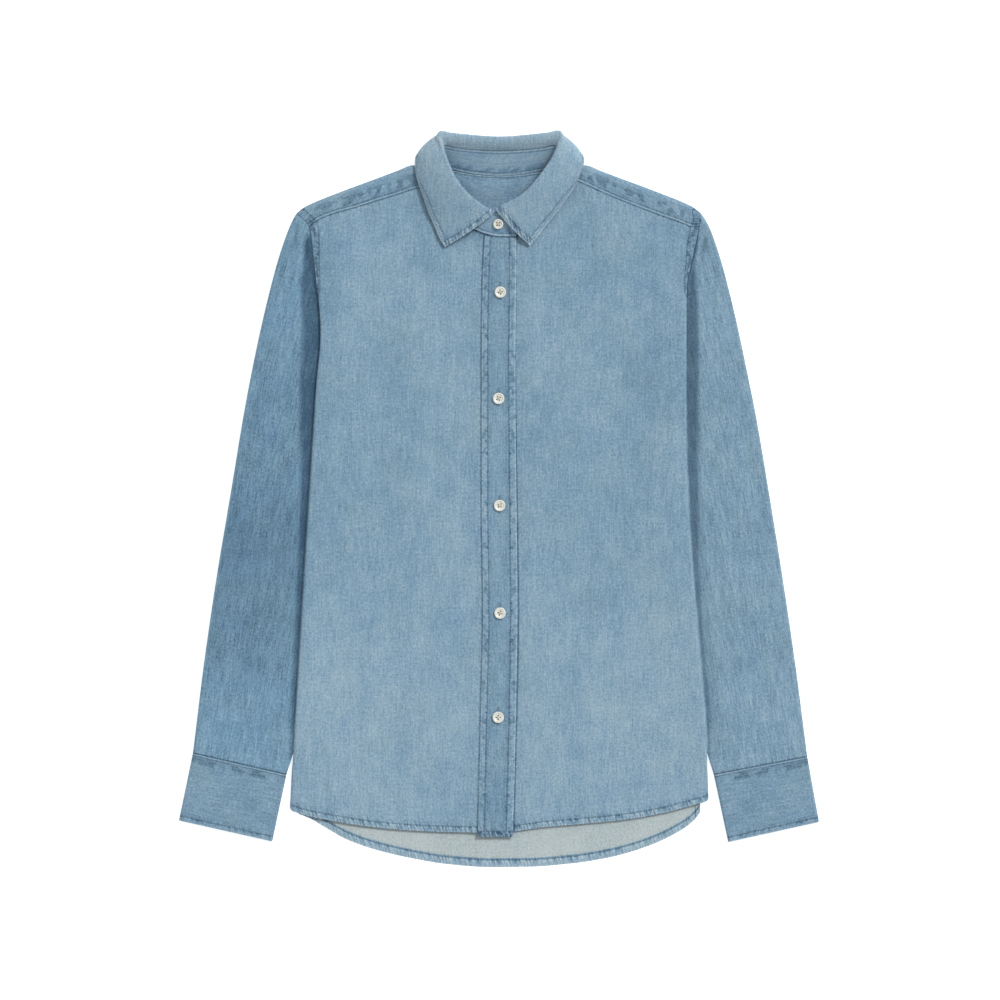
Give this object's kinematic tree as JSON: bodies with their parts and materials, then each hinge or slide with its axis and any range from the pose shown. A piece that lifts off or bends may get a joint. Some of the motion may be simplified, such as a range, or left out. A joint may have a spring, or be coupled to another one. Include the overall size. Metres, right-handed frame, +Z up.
{
  "type": "denim shirt",
  "caption": "Long-sleeved denim shirt with a turned-down collar, buttoned placket and plain cuffs, laid flat on its back with the sleeves beside the body.",
  "frame": {"origin": "on the surface the shirt lies on, under the middle of its outline", "axes": "+X to the wearer's left, +Y along the body towards the collar, +Z up out of the front"},
  "size_m": [0.6277, 0.7212, 0.0258],
  "materials": {
    "back_denim": "matte washed denim",
    "yoke_denim": "matte washed denim",
    "front_denim": "matte washed denim",
    "placket_denim": "matte washed denim",
    "sleeve_denim": "matte washed denim",
    "cuff_denim": "matte washed denim",
    "collar_denim": "matte washed denim",
    "pearl": "satin pearl"
  },
  "bodies": {
    "root": {"back": "back_denim", "yoke": "yoke_denim", "front_right": "front_denim", "front_left": "front_denim", "placket": "placket_denim", "sleeve_right": "sleeve_denim", "sleeve_left": "sleeve_denim", "cuff_right": "cuff_denim", "cuff_left": "cuff_denim", "collar_stand": "collar_denim", "collar": "collar_denim", "button_collar": "pearl", "button_1": "pearl", "button_2": "pearl", "button_3": "pearl", "button_4": "pearl", "button_5": "pearl"}
  },
  "joints": []
}
